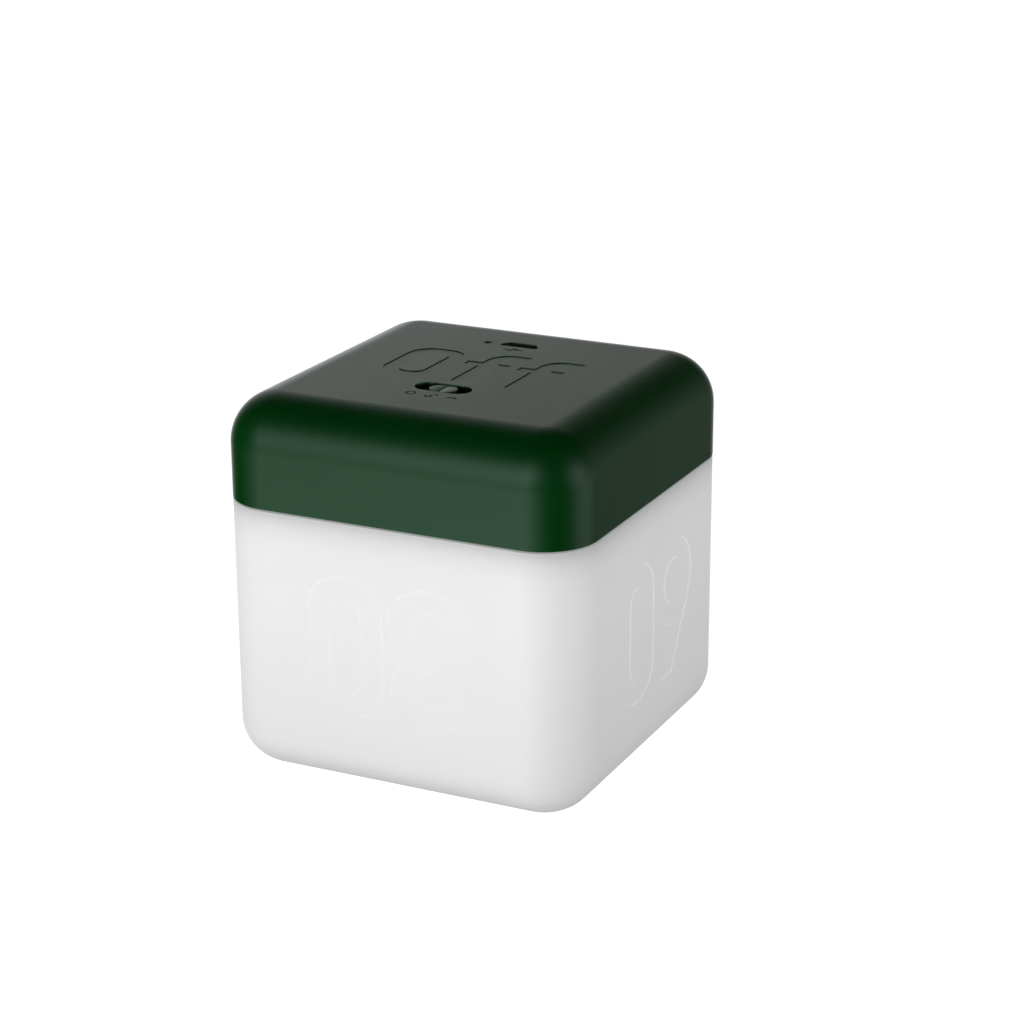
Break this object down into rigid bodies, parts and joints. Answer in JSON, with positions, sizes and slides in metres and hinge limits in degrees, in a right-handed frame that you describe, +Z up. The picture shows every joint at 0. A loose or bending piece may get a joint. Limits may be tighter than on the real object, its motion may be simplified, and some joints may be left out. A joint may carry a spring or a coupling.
{
  "type": "cube kitchen timer",
  "caption": "Rounded cube timer on a white lamp body: turning a side up starts the time engraved on it. The green cap has a slide switch, a charging port and a status light.",
  "frame": {"origin": "centre of the underside, at the level the timer stands on", "axes": "+Z up towards the cap, -Y towards the side engraved 30, +X towards the side engraved 60"},
  "size_m": [0.075, 0.075, 0.075],
  "materials": {
    "black_plastic": "moulded black",
    "black_rubber": "matt black",
    "board_green": "green solder resist",
    "body_white": "smooth translucent white",
    "brass": "bare spring brass",
    "cap_green": "satin dark green",
    "ceramic_tan": "tan ceramic",
    "chassis_white": "matt white",
    "chip_black": "moulded black",
    "clear_plastic": "clear",
    "connector_white": "natural nylon",
    "ferrite": "grey ferrite",
    "foam_grey": "foam",
    "knob_green": "satin dark green",
    "lamp_board_white": "white solder resist",
    "lamp_yellow": "phosphor",
    "lead_black": "insulated lead",
    "lead_red": "insulated lead",
    "pouch_silver": "aluminium pouch foil",
    "screw_steel": "zinc-plated",
    "tin": "tin-plated sheet"
  },
  "bodies": {
    "housing": {"battery_cell": "pouch_silver", "battery_foam": "foam_grey", "battery_guard_board": "board_green", "battery_lead_black": "lead_black", "battery_lead_red": "lead_red", "battery_plug": "connector_white", "battery_socket": "connector_white", "board_screw_1": "screw_steel", "board_screw_2": "screw_steel", "board_screw_3": "screw_steel", "board_screw_4": "screw_steel", "buzzer_base": "chip_black", "buzzer_case": "black_plastic", "capacitor_1": "ceramic_tan", "capacitor_2": "ceramic_tan", "capacitor_3": "ceramic_tan", "charger_chip": "chip_black", "chassis_screw_1": "screw_steel", "chassis_screw_2": "screw_steel", "chassis_screw_3": "screw_steel", "chassis_screw_4": "screw_steel", "clock_crystal": "tin", "controller_chip": "chip_black", "driver_inductor": "ferrite", "gravity_sensor": "chip_black", "inner_chassis": "chassis_white", "lamp_board": "lamp_board_white", "lamp_lead_black": "lead_black", "lamp_lead_red": "lead_red", "lamp_led_1": "lamp_yellow", "lamp_led_2": "lamp_yellow", "lamp_led_3": "lamp_yellow", "lamp_led_4": "lamp_yellow", "lamp_led_5": "lamp_yellow", "lamp_led_6": "lamp_yellow", "light_pipe": "clear_plastic", "lower_body": "body_white", "main_board": "board_green", "port_gasket": "black_rubber", "port_shell": "tin", "port_tongue": "black_plastic", "status_led": "lamp_yellow", "switch_base": "ceramic_tan", "switch_can": "tin", "switch_contact": "brass", "top_cap": "cap_green"},
    "mode_slider": {"mode_knob": "knob_green", "dust_shutter": "black_plastic", "switch_lever": "black_plastic"}
  },
  "joints": [
    {"name": "mode_slide", "type": "slide", "parent": "housing", "child": "mode_slider", "axis": [1, 0, 0], "range_m": [-0.0025, 0.0025]}
  ]
}
